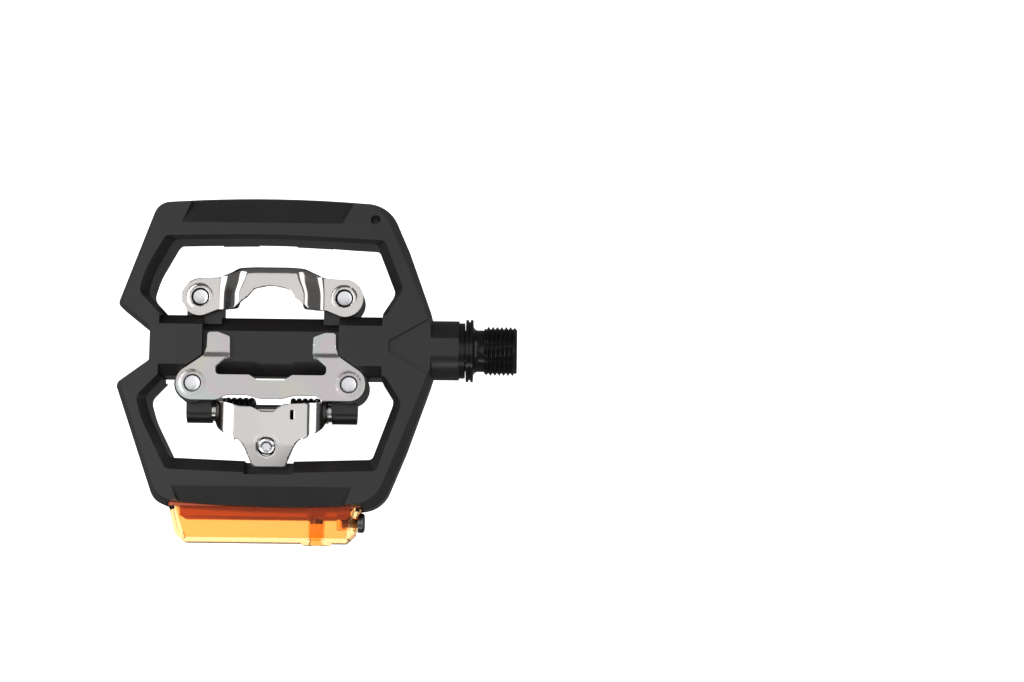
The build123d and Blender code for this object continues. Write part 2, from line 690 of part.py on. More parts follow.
with BuildPart() as rear_claw:
    # The arch seen from the rear, cut to its plan and then to its side view
    arch = [
        (-CLAW_HALF, EAR_FOOT, 0.3),
        (-CLAW_HALF, CLAW_TOP, BEND_R),
        (CLAW_HALF, CLAW_TOP, BEND_R),
        (CLAW_HALF, EAR_FOOT, 0.3),
        (CLAW_HALF - CLAW_THICK, EAR_FOOT, 0.3),
        (CLAW_HALF - CLAW_THICK, CLAW_TOP - CLAW_THICK, BEND_R - CLAW_THICK),
        (CLAW_THICK - CLAW_HALF, CLAW_TOP - CLAW_THICK, BEND_R - CLAW_THICK),
        (CLAW_THICK - CLAW_HALF, EAR_FOOT, 0.3),
    ]
    extrude(rounded(arch, Plane.XZ.offset(14.0).shift_origin((MID, -14.0, 0))), amount=14.0)
    extrude(level(both_halves(CLAW_PLAN), EAR_FOOT - 1.0), amount=16.0, mode=Mode.INTERSECT)
    with BuildSketch(Plane.YZ.offset(MID)):
        Polygon(*CLAW_SIDE, align=None)
        with Locations((PIVOT_Y, PIVOT_Z)):
            Circle(EAR_R)
    extrude(amount=CLAW_HALF + 1.0, both=True, mode=Mode.INTERSECT)
    with BuildSketch(Plane.YZ.offset(MID)):
        with Locations((PIVOT_Y, PIVOT_Z)):
            Circle(PIVOT_R + RUN)
    extrude(amount=CLAW_HALF + 1.0, both=True, mode=Mode.SUBTRACT)
    # The tongue, and the dished cup that the tension screw's head sits in
    with BuildSketch(tongue_top):
        Polygon(*TONGUE_HALF, *[(-x, y) for x, y in reversed(TONGUE_HALF)], align=None)
    extrude(amount=-CLAW_THICK)
    cup = extrude(disc(CUP_R, screw_top.offset(-CUP_FLOOR)), amount=5.0, mode=Mode.PRIVATE)
    with BuildSketch(tongue_top, mode=Mode.PRIVATE) as under:
        Rectangle(20.0, 30.0)
    add(cup & extrude(under.sketch, amount=-12.0, mode=Mode.PRIVATE))
    extrude(disc(CUP_R - 0.65, screw_top.offset(-HEAD_SEAT)), amount=5.0, mode=Mode.SUBTRACT)
    extrude(disc(TENSION_R + RUN, screw_top.offset(-CUP_FLOOR - 1)), amount=3.0, mode=Mode.SUBTRACT)
rear_claw.part.label = "rear_claw"
export_step(rear_claw.part, "parts/rear_claw.step")

with BuildPart() as pivot_pin:
    extrude(disc(PIVOT_R, pivot), amount=LUG_OUT - 0.2, both=True)
pivot_pin.part.label = "pivot_pin"
export_step(pivot_pin.part, "parts/pivot_pin.step")


def spacer_bush(side):
    """The bright bush between a claw ear and its lug; side is -1 or 1 along X."""
    near = CLAW_HALF + 0.1
    far = LUG_IN - 0.1
    with BuildPart() as bush:
        with BuildSketch(pivot.offset(side * (near + far) / 2)):
            Circle(3.2)
            Circle(PIVOT_R, mode=Mode.SUBTRACT)
        extrude(amount=(far - near) / 2, both=True)
    return bush


def torsion_spring(side):
    """A coiled spring, drawn as touching rings on a thin sleeve."""
    inner = CLAW_HALF - CLAW_THICK - 0.2
    pitch = (inner - SPRING_GAP) / COILS
    coil_r = SPRING_R - WIRE_R
    with BuildPart() as spring:
        with BuildSketch(pivot.offset(side * (inner + SPRING_GAP) / 2)):
            Circle(coil_r + 0.4)
            Circle(coil_r - 0.4, mode=Mode.SUBTRACT)
        extrude(amount=(inner - SPRING_GAP) / 2 - WIRE_R, both=True)
        for turn in range(COILS):
            with Locations(pivot.offset(side * (SPRING_GAP + pitch * (turn + 0.5)))):
                Torus(coil_r, WIRE_R)
    return spring


pivot_bush_left = spacer_bush(-1)
pivot_bush_left.part.label = "pivot_bush_left"
export_step(pivot_bush_left.part, "parts/pivot_bush_left.step")

pivot_bush_right = spacer_bush(1)
pivot_bush_right.part.label = "pivot_bush_right"
export_step(pivot_bush_right.part, "parts/pivot_bush_right.step")

spring_left = torsion_spring(-1)
spring_left.part.label = "spring_left"
export_step(spring_left.part, "parts/spring_left.step")

spring_right = torsion_spring(1)
spring_right.part.label = "spring_right"
export_step(spring_right.part, "parts/spring_right.step")

with BuildPart() as tension_screw:
    extrude(disc(TENSION_HEAD_R, screw_top.offset(-HEAD_SEAT)), amount=HEAD_SEAT)
    extrude(disc(TENSION_R, screw_top.offset(-TENSION_LENGTH)), amount=TENSION_LENGTH - HEAD_SEAT)
    with BuildSketch(screw_top):
        RegularPolygon(1.25, 6, major_radius=False)
    extrude(amount=-1.1, mode=Mode.SUBTRACT)
tension_screw.part.label = "tension_screw"
export_step(tension_screw.part, "parts/tension_screw.step")

PLATE_DEPTH = 7.5  # from the screw's top to the middle of its nut plate
HALF_PLATE = 1.3

with BuildPart() as tension_plate:
    with BuildSketch(screw_top.offset(-PLATE_DEPTH)):
        RectangleRounded(8.4, 7.6, 0.8)
        Circle(TENSION_R + RUN, mode=Mode.SUBTRACT)
    extrude(amount=HALF_PLATE, both=True)
tension_plate.part.label = "tension_plate"
export_step(tension_plate.part, "parts/tension_plate.step")

# Traction pins

with BuildPart() as traction_pins:
    with BuildSketch(Plane.XY.offset(-HALF_THICK)):
        with Locations(*PIN_SPOTS):
            Circle(PIN_HEAD_R)
    extrude(amount=-PIN_HEAD)
    chamfer(traction_pins.edges().filter_by(GeomType.CIRCLE).group_by(Axis.Z)[0], 0.4)
    with BuildSketch(Plane.XY.offset(-HALF_THICK)):
        with Locations(*PIN_SPOTS):
            Circle(PIN_R)
    extrude(amount=PIN_DEPTH - 0.3)
    with BuildSketch(Plane.XY.offset(-HALF_THICK - PIN_HEAD)):
        with Locations(*PIN_SPOTS):
            RegularPolygon(1.0, 6, major_radius=False)
    extrude(amount=1.5, mode=Mode.SUBTRACT)
traction_pins.part.label = "traction_pins"
export_step(traction_pins.part, "parts/traction_pins.step")

# Reflector on the rear bar: Plane.XZ looks along -Y, so an offset is a distance to the rear

LENS_BACK = -REFLECTOR_BACK + BASE_THICK
LENS_FACE = -REFLECTOR_FACE
LENS_CORNER = 2.4
TUNNEL_R = 2.35
MOUNT_R = 1.4
MOUNT_HEAD_R = 1.95
MOUNT_HEAD = 1.5
MOUNT_REACH = 6.5  # how far the mount screw goes into the rear bar
SPIGOT = 3.0  # the tube on the base that the mount screw's head rests on
SLOT_GAP = 0.1
RIM_R = 4.5  # a low rim round the mount screw's tunnel, on the lens's outer face
RIM_HIGH = 0.6
RIM_SLOPE = 40
CAP_R = 2.8
CAP_X = REFLECTOR_MID + REFLECTOR_HALF - 1.0
CAP_Y = -50.2
CAP_THICK = 1.9
CAP_SHANK = 4.6
BOSS_LONG = 6.0
CAP_BOSS_R = 2.2


def reflector_face(half_x, half_z, back):
    with BuildSketch(Plane.XZ.offset(back)) as face:
        with Locations((REFLECTOR_MID, 0)):
            RectangleRounded(2 * half_x, 2 * half_z, 1.2)
    return face.sketch


def round_at(x, radius, back):
    with BuildSketch(Plane.XZ.offset(back)) as face:
        with Locations((x, 0)):
            Circle(radius)
    return face.sketch


with BuildPart() as reflector_base:
    extrude(reflector_face(REFLECTOR_HALF, REFLECTOR_HALF_Z, -REFLECTOR_BACK), amount=BASE_THICK)
    extrude(round_at(TUNNEL_X, TUNNEL_R, LENS_BACK), amount=SPIGOT)
    extrude(round_at(TUNNEL_X, MOUNT_R, -REFLECTOR_BACK), amount=BASE_THICK + SPIGOT, mode=Mode.SUBTRACT)
reflector_base.part.label = "reflector_base"
export_step(reflector_base.part, "parts/reflector_base.step")

with BuildPart() as reflector_lens:
    outer = [
        reflector_face(REFLECTOR_HALF, REFLECTOR_HALF_Z, LENS_BACK),
        reflector_face(REFLECTOR_HALF - 1.8, REFLECTOR_HALF_Z - 0.7, LENS_FACE - LENS_CORNER),
        reflector_face(REFLECTOR_HALF - 4.2, REFLECTOR_HALF_Z - 1.6, LENS_FACE),
    ]
    inner = [
        reflector_face(REFLECTOR_HALF - REFLECTOR_WALL, REFLECTOR_HALF_Z - REFLECTOR_WALL, LENS_BACK - PAST),
        reflector_face(REFLECTOR_HALF - 4.2, REFLECTOR_HALF_Z - 2.4, LENS_FACE - REFLECTOR_WALL),
    ]
    loft(outer, ruled=True)
    loft(inner, ruled=True, mode=Mode.SUBTRACT)
    tunnel_back = LENS_BACK + SPIGOT + SLOT_GAP
    extrude(round_at(TUNNEL_X, TUNNEL_R, tunnel_back), amount=LENS_FACE - tunnel_back)
    extrude(round_at(TUNNEL_X, RIM_R, LENS_FACE), amount=RIM_HIGH, taper=RIM_SLOPE)
    extrude(round_at(TUNNEL_X, MOUNT_HEAD_R, tunnel_back), amount=10.0, mode=Mode.SUBTRACT)
    # A boss inside the crank-side end wall for the side screw
    with BuildSketch(Plane.YZ.offset(CAP_X - BOSS_LONG)):
        with Locations((CAP_Y, 0)):
            Circle(CAP_BOSS_R)
    extrude(amount=BOSS_LONG)
    with BuildSketch(Plane.YZ.offset(CAP_X)):
        with Locations((CAP_Y, 0)):
            Circle(CAP_R + 0.2)
    extrude(amount=3.0, mode=Mode.SUBTRACT)
    with BuildSketch(Plane.YZ.offset(CAP_X)):
        with Locations((CAP_Y, 0)):
            Circle(MOUNT_R)
    extrude(amount=-CAP_SHANK - 0.4, mode=Mode.SUBTRACT)
reflector_lens.part.label = "reflector_lens"
export_step(reflector_lens.part, "parts/reflector_lens.step")

PRISM_PITCH = 3.2
PRISM_COLUMNS = 15
PANEL_HALF = 24.6
PANEL_HALF_Z = 4.3
PANEL_THICK = 2.7
PANEL_GAP = 0.3
PRISM_HEIGHT = 0.9
PRISM_SLOPE = 50  # degrees from the rearward direction

with BuildPart() as reflector_prisms:
    extrude(reflector_face(PANEL_HALF, PANEL_HALF_Z, LENS_BACK), amount=PANEL_THICK)
    with BuildSketch(Plane.XZ.offset(LENS_BACK + PANEL_THICK)):
        with Locations((REFLECTOR_MID, 0)):
            with GridLocations(PRISM_PITCH, PRISM_PITCH, PRISM_COLUMNS, 2):
                Rectangle(PRISM_PITCH, PRISM_PITCH)
    extrude(amount=PRISM_HEIGHT, taper=PRISM_SLOPE)
    extrude(round_at(TUNNEL_X, TUNNEL_R + PANEL_GAP, LENS_BACK), amount=6.0, mode=Mode.SUBTRACT)
    # A groove that clears the side screw's boss
    with BuildSketch(Plane.YZ.offset(CAP_X - BOSS_LONG - PANEL_GAP)):
        with Locations((CAP_Y, 0)):
            Circle(CAP_BOSS_R + PANEL_GAP)
    extrude(amount=BOSS_LONG, mode=Mode.SUBTRACT)
reflector_prisms.part.label = "reflector_prisms"
export_step(reflector_prisms.part, "parts/reflector_prisms.step")

with BuildPart() as reflector_mount_screw:
    extrude(round_at(TUNNEL_X, MOUNT_HEAD_R - RUN, LENS_BACK + SPIGOT), amount=MOUNT_HEAD)
    tip = -REFLECTOR_BACK - MOUNT_REACH
    extrude(round_at(TUNNEL_X, MOUNT_R, tip), amount=LENS_BACK + SPIGOT - tip)
    with BuildSketch(Plane.XZ.offset(LENS_BACK + SPIGOT + MOUNT_HEAD)):
        with Locations((TUNNEL_X, 0)):
            Rectangle(2.6, 0.5)
            Rectangle(0.5, 2.6)
    extrude(amount=-0.9, mode=Mode.SUBTRACT)
reflector_mount_screw.part.label = "reflector_mount_screw"
export_step(reflector_mount_screw.part, "parts/reflector_mount_screw.step")

with BuildPart() as reflector_side_screw:
    with BuildSketch(Plane.YZ.offset(CAP_X)):
        with Locations((CAP_Y, 0)):
            Circle(CAP_R)
    extrude(amount=CAP_THICK)
    fillet(reflector_side_screw.edges().filter_by(GeomType.CIRCLE).group_by(Axis.X)[-1], 0.7)
    with BuildSketch(Plane.YZ.offset(CAP_X)):
        with Locations((CAP_Y, 0)):
            Circle(MOUNT_R)
    extrude(amount=-CAP_SHANK)
    with BuildSketch(Plane.YZ.offset(CAP_X + CAP_THICK)):
        with Locations((CAP_Y, 0)):
            Rectangle(3.0, 0.6)
            Rectangle(0.6, 3.0)
    extrude(amount=-1.0, mode=Mode.SUBTRACT)
reflector_side_screw.part.label = "reflector_side_screw"
export_step(reflector_side_screw.part, "parts/reflector_side_screw.step")
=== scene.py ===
import json
import math

import bpy
import numpy as np
from mathutils import Matrix, Vector
from mathutils.geometry import delaunay_2d_cdt

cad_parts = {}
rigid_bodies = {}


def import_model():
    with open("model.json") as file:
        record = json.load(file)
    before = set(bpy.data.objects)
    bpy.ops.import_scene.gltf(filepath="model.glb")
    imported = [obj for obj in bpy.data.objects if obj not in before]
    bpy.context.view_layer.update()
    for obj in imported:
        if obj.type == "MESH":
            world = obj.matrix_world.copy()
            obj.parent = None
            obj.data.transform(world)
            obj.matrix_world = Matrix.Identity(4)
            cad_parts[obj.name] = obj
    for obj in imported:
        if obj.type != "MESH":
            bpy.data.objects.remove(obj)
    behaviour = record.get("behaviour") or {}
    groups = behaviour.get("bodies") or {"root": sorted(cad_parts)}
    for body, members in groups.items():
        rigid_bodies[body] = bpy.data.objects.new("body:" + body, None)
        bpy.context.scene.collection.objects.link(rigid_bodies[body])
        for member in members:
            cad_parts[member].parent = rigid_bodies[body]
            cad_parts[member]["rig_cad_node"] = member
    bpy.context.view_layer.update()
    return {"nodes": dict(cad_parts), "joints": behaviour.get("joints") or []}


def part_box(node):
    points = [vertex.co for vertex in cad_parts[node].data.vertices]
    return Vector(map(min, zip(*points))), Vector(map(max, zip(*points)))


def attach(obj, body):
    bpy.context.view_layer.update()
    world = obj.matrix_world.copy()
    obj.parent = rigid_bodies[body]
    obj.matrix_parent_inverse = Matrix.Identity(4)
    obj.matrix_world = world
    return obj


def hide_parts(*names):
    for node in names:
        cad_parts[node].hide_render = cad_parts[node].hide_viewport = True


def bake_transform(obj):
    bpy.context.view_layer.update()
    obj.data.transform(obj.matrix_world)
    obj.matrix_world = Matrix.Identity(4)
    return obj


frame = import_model()

# A left-hand bicycle pedal, clip side up. Shapes are built in millimetres in the record's frame:
# origin on the axle flange's crank-side face, +X to the crank, +Y forward, +Z out of the clip side.
MM = 0.001
JOINTS = {joint["name"]: joint for joint in frame["joints"]}


def centre(node):
    """The middle of a CAD node's box, in millimetres."""
    low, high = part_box(node)
    return (low + high) / 2 / MM


def top(node):
    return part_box(node)[1] / MM


def bottom(node):
    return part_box(node)[0] / MM


MID = centre("rear_claw").x
PIVOT = Vector(JOINTS["claw_release"]["pos_m"]) / MM
TENSION_TOP = Vector(JOINTS["tension_turn"]["pos_m"]) / MM
TENSION_AXIS = Vector(JOINTS["tension_turn"]["axis"])
PLATE_TOP = top("rear_plate").z
AXLE_PITCH = 25.4 / 20  # 9/16 inch x 20 TPI

# ---------------------------------------------------------------- outlines and meshes


def rounded_outline(corners, step=0.25):
    """A closed outline from (x, y, radius) corners, as points at most about one step apart."""
    points = []
    count = len(corners)
    for i, (x, y, radius) in enumerate(corners):
        here = np.array((x, y), float)
        before = np.array(corners[i - 1][:2], float)
        after = np.array(corners[(i + 1) % count][:2], float)
        way_in = (here - before) / np.linalg.norm(here - before)
        way_out = (after - here) / np.linalg.norm(after - here)
        turn = math.acos(max(-1.0, min(1.0, float(way_in @ way_out))))
        if radius < 0.02 or turn < 0.02:
            points.append(here)
            continue
        reach = radius * math.tan(turn / 2)
        start = here - way_in * reach
        side = np.array((-way_in[1], way_in[0]))
        if side @ way_out < 0:
            side = -side
        hub = start + side * radius
        steps = max(2, int(math.ceil(radius * turn / step)))
        for k in range(steps + 1):
            angle = turn * k / steps
            points.append(hub - side * radius * math.cos(angle) + way_in * radius * math.sin(angle))
    filled = []
    for i, point in enumerate(points):
        following = points[(i + 1) % len(points)]
        gap = np.linalg.norm(following - point)
        parts = max(1, int(math.ceil(gap / step)))
        filled += [point + (following - point) * k / parts for k in range(parts)]
    kept = [filled[0]]
    for point in filled[1:]:
        if np.linalg.norm(point - kept[-1]) > 0.02:
            kept.append(point)
    return kept


def circle(x, y, radius, count=48):
    turns = [2 * math.pi * i / count for i in range(count)]
    return [np.array((x + radius * math.cos(t), y + radius * math.sin(t))) for t in turns]


def inside(points, loop):
    """Which of the points lie inside a closed loop."""
    loop = np.array(loop)
    ends = np.roll(loop, -1, axis=0)
    x, y = points[:, 0][:, None], points[:, 1][:, None]
    crosses = (loop[:, 1] > y) != (ends[:, 1] > y)
    rise = ends[:, 1] - loop[:, 1]
    rise[rise == 0] = 1e-12
    at = loop[:, 0] + (y - loop[:, 1]) / rise * (ends[:, 0] - loop[:, 0])
    return (np.sum(crosses & (x < at), axis=1) % 2) == 1


def both_halves(half):
    """A whole outline from its right-hand half, which runs from the top middle clockwise to the foot."""
    return [(-x, y, r) for x, y, r in reversed(half)] + list(half)


def sheet_mesh(name, outline, holes, surface, thick, grid=0.5, bevel=0.22, creases=()):
    """Pressed sheet metal: a flat blank with holes, moved onto surface(x, y) -> (x, y, z),
    then given thickness.
    Creases are extra loops that the mesh follows where the surface turns sharply."""
    loops = [outline, *holes, *creases]
    verts, edges = [], []
    for loop in loops:
        first = len(verts)
        verts += [Vector((float(p[0]), float(p[1]))) for p in loop]
        edges += [(first + i, first + (i + 1) % len(loop)) for i in range(len(loop))]
    rim = np.array([(v.x, v.y) for v in verts])
    low, high = rim.min(0), rim.max(0)
    xs = np.arange(low[0] + grid / 2, high[0], grid)
    ys = np.arange(low[1] + grid / 2, high[1], grid)
    cells = np.array([(x, y) for x in xs for y in ys])
    fit = inside(cells, outline)
    for hole in holes:
        fit &= ~inside(cells, hole)
    cells = cells[fit]
    gaps = np.sqrt(((cells[:, None, :] - rim[None, :, :]) ** 2).sum(2)).min(1)
    cells = cells[gaps > grid * 0.5]
    verts += [Vector((float(x), float(y))) for x, y in cells]
    points, _, triangles, _, _, _ = delaunay_2d_cdt(verts, edges, [], 0, 1e-5)
    flat = np.array([(p.x, p.y) for p in points])
    middles = np.array([flat[list(t)].mean(0) for t in triangles])
    keep = inside(middles, outline)
    for hole in holes:
        keep &= ~inside(middles, hole)
    faces = [list(t) for t, k in zip(triangles, keep) if k]
    places = [surface(float(x), float(y)) for x, y in flat]
    obj = new_object(name, places, faces)
    shell = obj.modifiers.new("thickness", "SOLIDIFY")
    shell.thickness = thick * MM
    shell.offset = -1
    shell.use_even_offset = False
    edge = obj.modifiers.new("edge", "BEVEL")
    edge.width = bevel * MM
    edge.segments = 2
    edge.limit_method = "ANGLE"
    edge.angle_limit = math.radians(50)
    return obj


def new_object(name, places, faces, smooth=True, sharp=35):
    """A mesh object from places in millimetres."""
    mesh = bpy.data.meshes.new(name)
    mesh.from_pydata([Vector(p) * MM for p in places], [], faces)
    mesh.validate()
    mesh.update()
    if smooth:
        mesh.shade_smooth()
        mesh.set_sharp_from_angle(angle=math.radians(sharp))
    obj = bpy.data.objects.new(name, mesh)
    bpy.context.scene.collection.objects.link(obj)
    return obj


def axis_frame(origin, axis, towards=(1, 0, 0)):
    """A matrix whose Z runs along axis from origin, with X as near to towards as it can be."""
    z = Vector(axis).normalized()
    x = (Vector(towards) - z * Vector(towards).dot(z)).normalized()
    y = z.cross(x)
    turn = Matrix((x, y, z)).transposed().to_4x4()
    return Matrix.Translation(Vector(origin)) @ turn


def turned(rows, place, count=64):
    """A closed turned shape from rows of (height, radius), where radius may be a function of the angle.
    It returns places and faces. A first or last row of radius 0 closes to a point."""
    places, faces, rings = [], [], []
    for height, radius in rows:
        if not callable(radius) and radius == 0:
            rings.append([len(places)])
            places.append(place @ Vector((0, 0, height)))
            continue
        ring = []
        for i in range(count):
            angle = 2 * math.pi * i / count
            reach = radius(angle) if callable(radius) else radius
            ring.append(len(places))
            places.append(place @ Vector((reach * math.cos(angle), reach * math.sin(angle), height)))
        rings.append(ring)
    for a, b in zip(rings, rings[1:]):
        for i in range(count):
            j = (i + 1) % count
            if len(a) == 1:
                faces.append((a[0], b[j], b[i]))
            elif len(b) == 1:
                faces.append((a[i], a[j], b[0]))
            else:
                faces.append((a[i], a[j], b[j], b[i]))
    return places, faces


def joined(name, shapes, sharp=35):
    """One object from several (places, faces) shapes."""
    places, faces = [], []
    for more, sides in shapes:
        first = len(places)
        places += more
        faces += [tuple(first + i for i in side) for side in sides]
    return new_object(name, places, faces, sharp=sharp)


def hexagon(flats, turn=0.0):
    """A radius function of a hexagon with that size across its flats."""

    def radius(angle):
        part = (angle - turn) % (math.pi / 3) - math.pi / 6
        return flats / 2 / math.cos(part)

    return radius


def six_lobes(outer, turn=0.0):
    """A radius function of a six-lobed socket."""
    return lambda angle: outer * (0.86 + 0.14 * math.cos(6 * (angle - turn)))


def thread_rows(start, end, major, depth, pitch, hand, runout=0.8, per_turn=10):
    """Rows of a helical thread from start to end. hand is 1 for right-hand and -1 for left-hand."""
    rows = []
    count = int(abs(end - start) / pitch * per_turn)
    for i in range(count + 1):
        height = start + (end - start) * i / count
        near = min(abs(height - start), abs(end - height))
        crest_limit = major - max(0.0, 1 - near / runout) * depth

        def radius(angle, height=height, limit=crest_limit):
            phase = (height / pitch - hand * angle / (2 * math.pi)) % 1.0
            flank = abs(phase - 0.5) * 2
            return min(limit, major - depth * min(1.0, max(0.0, (flank - 0.1) / 0.8)))

        rows.append((height, radius))
    return rows


def tube_along(points, radius, sides=14):
    """A round wire along points, with flat ends."""
    points = [Vector(p) for p in points]
    places, faces = [], []
    up = Vector((1, 0, 0))
    rings = []
    for i, point in enumerate(points):
        ahead = points[min(i + 1, len(points) - 1)] - points[max(i - 1, 0)]
        way = ahead.normalized()
        up = (up - way * up.dot(way)).normalized()
        across = way.cross(up)
        ring = []
        for k in range(sides):
            angle = 2 * math.pi * k / sides
            ring.append(len(places))
            places.append(point + (up * math.cos(angle) + across * math.sin(angle)) * radius)
        rings.append(ring)
    for a, b in zip(rings, rings[1:]):
        for k in range(sides):
            j = (k + 1) % sides
            faces.append((a[k], a[j], b[j], b[k]))
    faces.append(tuple(reversed(rings[0])))
    faces.append(tuple(rings[-1]))
    return places, faces


def smooth_step(t):
    t = max(0.0, min(1.0, t))
    return t * t * (3 - 2 * t)


# ---------------------------------------------------------------- materials


def new_material(name, color, metallic, rough, **more):
    """A Principled material with constant values. It returns the material, its nodes, links and shader."""
    material = bpy.data.materials.new(name)
    material.use_nodes = True
    nodes, links = material.node_tree.nodes, material.node_tree.links
    shader = nodes["Principled BSDF"]
    shader.inputs["Base Color"].default_value = (*color, 1)
    shader.inputs["Metallic"].default_value = metallic
    shader.inputs["Roughness"].default_value = rough
    for socket, value in more.items():
        shader.inputs[socket.replace("_", " ")].default_value = value
    return material, nodes, links, shader


def noise(nodes, links, scale, detail=3.0):
    """A noise texture in object space. scale is in features per metre."""
    place = nodes.new("ShaderNodeTexCoord")
    texture = nodes.new("ShaderNodeTexNoise")
    texture.inputs["Scale"].default_value = scale
    texture.inputs["Detail"].default_value = detail
    links.new(place.outputs["Object"], texture.inputs["Vector"])
    return texture


def ramp(nodes, links, source, stops):
    """A colour ramp on a factor. stops are (position, colour)."""
    node = nodes.new("ShaderNodeValToRGB")
    node.color_ramp.elements[0].position = stops[0][0]
    node.color_ramp.elements[0].color = (*stops[0][1], 1)
    node.color_ramp.elements[1].position = stops[-1][0]
    node.color_ramp.elements[1].color = (*stops[-1][1], 1)
    for position, color in stops[1:-1]:
        node.color_ramp.elements.new(position).color = (*color, 1)
    links.new(source, node.inputs["Fac"])
    return node


def worn(name, color, metallic, rough, spread, grain, **more):
    """A finish whose roughness wanders a little."""
    material, nodes, links, shader = new_material(name, color, metallic, rough, **more)
    patch = noise(nodes, links, grain)
    low, high = rough - spread, rough + spread
    tone = ramp(nodes, links, patch.outputs["Fac"], [(0.35, (low,) * 3), (0.65, (high,) * 3)])
    links.new(tone.outputs["Color"], shader.inputs["Roughness"])
    return material


def plated(name, tints, rough, spread):
    """Zinc plate with a faint rainbow in broad patches."""
    material, nodes, links, shader = new_material(name, tints[0][1], 1.0, rough)
    film = noise(nodes, links, 55.0, 1.5)
    tint = ramp(nodes, links, film.outputs["Fac"], tints)
    links.new(tint.outputs["Color"], shader.inputs["Base Color"])
    low, high = rough - spread, rough + spread
    tone = ramp(nodes, links, film.outputs["Fac"], [(0.3, (low,) * 3), (0.7, (high,) * 3)])
    links.new(tone.outputs["Color"], shader.inputs["Roughness"])
    return material


def polished(name, color, rough):
    """Polished chrome, a little warmer and duller in broad patches."""
    material, nodes, links, shader = new_material(name, color, 1.0, rough)
    film = noise(nodes, links, 60.0, 1.5)
    warm = (color[0] * 0.96, color[1] * 0.94, color[2] * 0.93)
    tint = ramp(nodes, links, film.outputs["Fac"], [(0.38, color), (0.62, warm)])
    links.new(tint.outputs["Color"], shader.inputs["Base Color"])
    tone = ramp(nodes, links, film.outputs["Fac"], [(0.35, (rough * 0.8,) * 3), (0.65, (rough * 1.3,) * 3)])
    links.new(tone.outputs["Color"], shader.inputs["Roughness"])
    return material


def paint(obj, material):
    """Gives a piece its material."""
    obj.data.materials.clear()
    obj.data.materials.append(material)


coat = worn("satin_black_coat", (0.014, 0.0128, 0.0122), 0.0, 0.34, 0.03, 90.0, Specular_IOR_Level=0.5)
oxide = worn("gloss_black_oxide", (0.012, 0.012, 0.013), 0.35, 0.2, 0.05, 400.0)
anodised = worn("black_anodised", (0.014, 0.014, 0.015), 0.5, 0.28, 0.04, 300.0)
chrome = polished("pressed_chrome", (0.70, 0.68, 0.665), 0.11)
ZINC_TINTS = [
    (0.34, (0.56, 0.54, 0.59)),
    (0.43, (0.60, 0.58, 0.52)),
    (0.50, (0.57, 0.56, 0.56)),
    (0.57, (0.60, 0.54, 0.56)),
    (0.66, (0.54, 0.58, 0.56)),
]
zinc = plated("rainbow_zinc", ZINC_TINTS, 0.22, 0.03)
bright_zinc = worn("bright_zinc", (0.80, 0.81, 0.83), 1.0, 0.26, 0.05, 500.0)
dark_zinc = worn("dark_zinc", (0.16, 0.16, 0.17), 1.0, 0.3, 0.08, 900.0)
ground = worn("ground_steel", (0.58, 0.57, 0.55), 1.0, 0.24, 0.06, 600.0)
nickel = worn("warm_nickel", (0.60, 0.53, 0.45), 1.0, 0.25, 0.08, 800.0)
gloss_black = worn("gloss_black", (0.008, 0.008, 0.008), 0.0, 0.16, 0.05, 500.0)
brass = worn("drawn_brass", (0.6, 0.42, 0.16), 1.0, 0.3, 0.05, 500.0)
polymer = worn("natural_polymer", (0.62, 0.58, 0.5), 0.0, 0.5, 0.05, 300.0)
black_plastic = worn("black_plastic", (0.014, 0.014, 0.014), 0.0, 0.45, 0.05, 300.0)
# painted highlight: a white finish for the arcs that stand in for a glint beside the tension screw
painted_highlight_white = worn("painted_highlight_white", (0.85, 0.85, 0.84), 0.0, 0.4, 0.05, 500.0)
rubber = worn("seal_rubber", (0.01, 0.01, 0.01), 0.0, 0.7, 0.06, 300.0)
amber, _, _, _ = new_material(
    "amber_lens", (0.985, 0.61, 0.27), 0.0, 0.05, Transmission_Weight=1.0, IOR=1.25
)
amber_prisms, _, _, _ = new_material(
    "amber_prisms", (0.82, 0.20, 0.07), 0.0, 0.25, Transmission_Weight=0.5, IOR=1.3
)
red_back = worn("red_back", (0.62, 0.10, 0.03), 0.0, 0.35, 0.05, 300.0)

CAD_FINISH = {
    "platform_body": coat,
    "axle": oxide,
    "bearing_outer_ring": ground,
    "bearing_inner_ring": ground,
    "bearing_balls": ground,
    "bearing_cage": brass,
    "axle_washer": ground,
    "axle_locknut": ground,
    "dust_cap": black_plastic,
    "inboard_bushing": polymer,
    "lock_sleeve": anodised,
    "axle_seal": rubber,
    "front_claw": chrome,
    "rear_plate": zinc,
    "front_claw_screws": bright_zinc,
    "rear_plate_screws": bright_zinc,
    "rear_claw": chrome,
    "pivot_pin": ground,
    "pivot_bush_left": ground,
    "pivot_bush_right": ground,
    "spring_left": gloss_black,
    "spring_right": gloss_black,
    "tension_screw": bright_zinc,
    "tension_plate": gloss_black,
    "traction_pins": nickel,
    "reflector_base": red_back,
    "reflector_lens": amber,
    "reflector_prisms": amber_prisms,
    "reflector_mount_screw": dark_zinc,
    "reflector_side_screw": dark_zinc,
}
EDGE_WIDTH = {
    "platform_body": 0.45,
    "lock_sleeve": 0.25,
    "dust_cap": 0.15,
    "tension_plate": 0.25,
    "pivot_bush_left": 0.2,
    "pivot_bush_right": 0.2,
    "pivot_pin": 0.15,
    "reflector_base": 0.3,
    "reflector_lens": 0.5,
    "reflector_mount_screw": 0.12,
    "reflector_side_screw": 0.12,
    "axle_locknut": 0.2,
}
